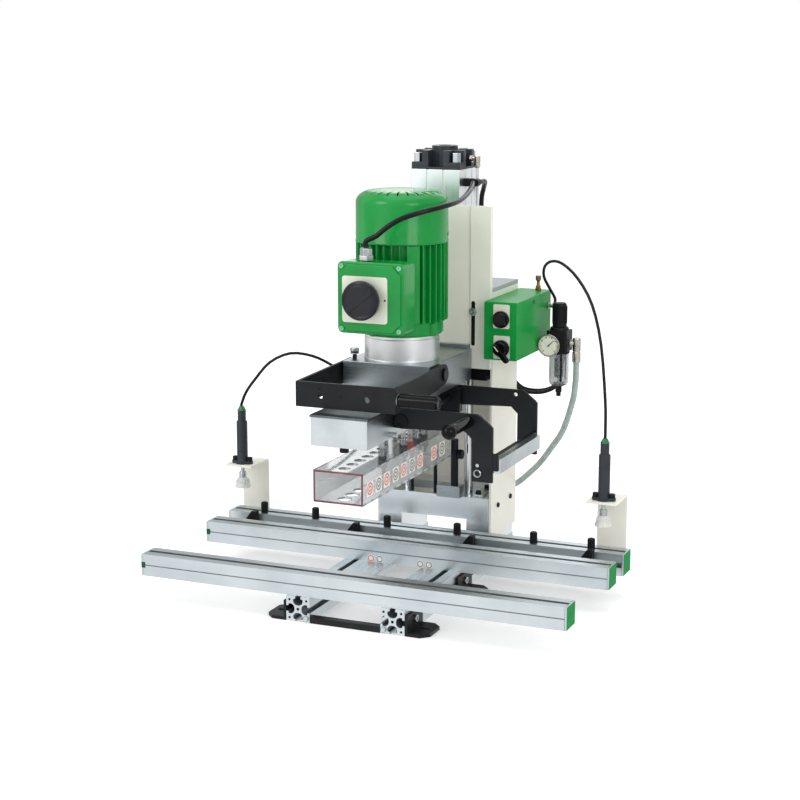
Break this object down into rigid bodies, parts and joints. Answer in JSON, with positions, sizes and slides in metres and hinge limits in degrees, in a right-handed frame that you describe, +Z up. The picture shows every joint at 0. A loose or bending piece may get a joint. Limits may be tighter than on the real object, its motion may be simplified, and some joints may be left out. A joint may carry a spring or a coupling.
{
  "type": "hinge boring machine",
  "caption": "Bench boring machine: T-slot rails on a base, sheet column with air cylinder, sliding motor head with a spindle row and clear guard, swing frames and hold-downs",
  "frame": {"origin": "on the bench, in the middle of the six feet of the base", "axes": "+X along the rails to the operator's right, +Y from the operator to the column, +Z up; rest pose has the head up"},
  "size_m": [0.8, 0.597, 0.7965],
  "materials": {
    "extruded_aluminium": "anodised extrusion, satin",
    "machined_aluminium": "milled, bare",
    "black_steel": "black, satin",
    "black_plastic": "moulded black",
    "green_plastic": "moulded green",
    "green_paint": "gloss green enamel",
    "cream_paint": "cream powder coat",
    "grey_paint": "grey powder coat",
    "polished_steel": "hard chromed, polished",
    "nickel": "nickel plated",
    "tool_steel": "blackened tool steel",
    "black_rubber": "smooth black sheath",
    "clear_plastic": "clear acrylic"
  },
  "bodies": {
    "frame": {"base_profiles": "extruded_aluminium", "base_brackets": "black_steel", "rail_supports": "extruded_aluminium", "front_rail": "extruded_aluminium", "middle_rail": "extruded_aluminium", "back_rail": "extruded_aluminium", "rail_end_caps": "green_plastic", "stop_pins": "black_plastic", "portal": "extruded_aluminium", "column_shell": "cream_paint", "column_top_plate": "grey_paint", "guide_rods": "polished_steel", "depth_stop": "black_steel", "cylinder_tube": "machined_aluminium", "cylinder_caps": "black_steel", "frame_fittings": "nickel", "control_box": "green_paint", "regulator_body": "black_plastic", "air_hoses": "black_rubber", "hold_brackets": "cream_paint", "hold_bodies": "black_plastic"},
    "head": {"piston_rod": "polished_steel", "carriage_plate": "cream_paint", "carriage_block": "black_steel", "slide_block": "machined_aluminium", "head_block": "machined_aluminium", "head_brackets": "black_steel", "adaptor_ring": "machined_aluminium", "motor_body": "green_paint", "motor_hood": "green_paint", "switch_box": "green_paint", "cable_gland": "nickel", "motor_cable": "black_rubber", "gear_head": "machined_aluminium"},
    "guard": {"guard": "clear_plastic"},
    "front_frame": {"u_frame": "black_steel", "u_grip": "black_plastic"},
    "side_frame": {"l_frame": "black_steel", "l_crossbar": "machined_aluminium", "l_grip": "black_plastic"},
    "main_switch": {"switch_knob": "black_plastic"},
    "upper_control": {"upper_knob": "black_plastic"},
    "lower_control": {"lower_knob": "black_plastic"},
    "regulator_control": {"regulator_knob": "black_plastic"},
    "needle": {"gauge_needle": "black_plastic"},
    "pad_left": {"left_pad": "clear_plastic"},
    "pad_right": {"right_pad": "clear_plastic"},
    "rotor": {"motor_rotor": "nickel"},
    "stop_1": {"flip_stop_1": "black_plastic"},
    "stop_2": {"flip_stop_2": "black_plastic"},
    "stop_3": {"flip_stop_3": "black_plastic"},
    "stop_4": {"flip_stop_4": "black_plastic"},
    "spindle_body_1": {"spindle_1": "tool_steel"},
    "spindle_body_2": {"spindle_2": "tool_steel"},
    "spindle_body_3": {"spindle_3": "tool_steel"},
    "spindle_body_4": {"spindle_4": "tool_steel"},
    "spindle_body_5": {"spindle_5": "tool_steel"},
    "spindle_body_6": {"spindle_6": "tool_steel"},
    "spindle_body_7": {"spindle_7": "tool_steel"}
  },
  "joints": [
    {"name": "head_slide", "type": "slide", "parent": "frame", "child": "head", "axis": [0, 0, 1], "range_m": [-0.13, 0], "deforming": ["motor_cable"]},
    {"name": "guard_slide", "type": "slide", "parent": "head", "child": "guard", "axis": [0, 0, 1], "range_m": [0, 0.034], "stiffness_N_per_m": 300, "springref_m": -0.02},
    {"name": "front_frame_swing", "type": "hinge", "parent": "head", "child": "front_frame", "pos_m": [0, -0.0455, 0.41], "axis": [-1, 0, 0], "range_deg": [0, 35]},
    {"name": "side_frame_swing", "type": "hinge", "parent": "head", "child": "side_frame", "pos_m": [0.066, -0.0675, 0.35], "axis": [0, 1, 0], "range_deg": [0, 90]},
    {"name": "main_switch_turn", "type": "hinge", "parent": "head", "child": "main_switch", "pos_m": [-0.003, -0.1875, 0.556], "axis": [0, 1, 0], "range_deg": [0, 90]},
    {"name": "upper_knob_turn", "type": "hinge", "parent": "frame", "child": "upper_control", "pos_m": [0.15, 0.0825, 0.493], "axis": [0, 1, 0], "range_deg": [0, 90]},
    {"name": "lower_knob_turn", "type": "hinge", "parent": "frame", "child": "lower_control", "pos_m": [0.151, 0.0825, 0.44], "axis": [0, 1, 0], "range_deg": [-90, 0]},
    {"name": "regulator_knob_turn", "type": "hinge", "parent": "frame", "child": "regulator_control", "pos_m": [0.213, 0.2325, 0.48], "axis": [0, 0, 1], "range_deg": [-540, 540]},
    {"name": "gauge_needle_turn", "type": "hinge", "parent": "frame", "child": "needle", "pos_m": [0.202, 0.2045, 0.43], "axis": [0, 1, 0], "range_deg": [-180, 90]},
    {"name": "left_pad_slide", "type": "slide", "parent": "frame", "child": "pad_left", "axis": [0, 0, -1], "range_m": [0, 0.03], "stiffness_N_per_m": 400, "springref_m": -0.01},
    {"name": "right_pad_slide", "type": "slide", "parent": "frame", "child": "pad_right", "axis": [0, 0, -1], "range_m": [0, 0.03], "stiffness_N_per_m": 400, "springref_m": -0.01},
    {"name": "flip_stop_1_swing", "type": "hinge", "parent": "frame", "child": "stop_1", "pos_m": [-0.347, 0.0545, 0.065], "axis": [0, 1, 0], "range_deg": [0, 90]},
    {"name": "flip_stop_2_swing", "type": "hinge", "parent": "frame", "child": "stop_2", "pos_m": [-0.131, 0.0545, 0.065], "axis": [0, 1, 0], "range_deg": [0, 90]},
    {"name": "flip_stop_3_swing", "type": "hinge", "parent": "frame", "child": "stop_3", "pos_m": [0.103, 0.0545, 0.065], "axis": [0, 1, 0], "range_deg": [0, 90]},
    {"name": "flip_stop_4_swing", "type": "hinge", "parent": "frame", "child": "stop_4", "pos_m": [0.331, 0.0545, 0.065], "axis": [0, 1, 0], "range_deg": [0, 90]},
    {"name": "motor_spin", "type": "hinge", "parent": "head", "child": "rotor", "pos_m": [0, -0.0205, 0.48], "axis": [0, 0, 1], "continuous": true},
    {"name": "spindle_1_spin", "type": "hinge", "parent": "head", "child": "spindle_body_1", "pos_m": [0, -0.2695, 0.325], "axis": [0, 0, 1], "continuous": true},
    {"name": "spindle_2_spin", "type": "hinge", "parent": "head", "child": "spindle_body_2", "pos_m": [0, -0.2375, 0.325], "axis": [0, 0, 1], "continuous": true},
    {"name": "spindle_3_spin", "type": "hinge", "parent": "head", "child": "spindle_body_3", "pos_m": [0, -0.1095, 0.325], "axis": [0, 0, 1], "continuous": true},
    {"name": "spindle_4_spin", "type": "hinge", "parent": "head", "child": "spindle_body_4", "pos_m": [0, -0.0135, 0.325], "axis": [0, 0, 1], "continuous": true},
    {"name": "spindle_5_spin", "type": "hinge", "parent": "head", "child": "spindle_body_5", "pos_m": [0, 0.0185, 0.325], "axis": [0, 0, 1], "continuous": true},
    {"name": "spindle_6_spin", "type": "hinge", "parent": "head", "child": "spindle_body_6", "pos_m": [0, 0.0505, 0.325], "axis": [0, 0, 1], "continuous": true},
    {"name": "spindle_7_spin", "type": "hinge", "parent": "head", "child": "spindle_body_7", "pos_m": [0, 0.0825, 0.325], "axis": [0, 0, 1], "continuous": true}
  ],
  "couplings": [
    {"joint": "spindle_1_spin", "follows": "motor_spin", "ratio": 1},
    {"joint": "spindle_2_spin", "follows": "motor_spin", "ratio": -1},
    {"joint": "spindle_3_spin", "follows": "motor_spin", "ratio": -1},
    {"joint": "spindle_4_spin", "follows": "motor_spin", "ratio": 1},
    {"joint": "spindle_5_spin", "follows": "motor_spin", "ratio": -1},
    {"joint": "spindle_6_spin", "follows": "motor_spin", "ratio": 1},
    {"joint": "spindle_7_spin", "follows": "motor_spin", "ratio": -1}
  ]
}
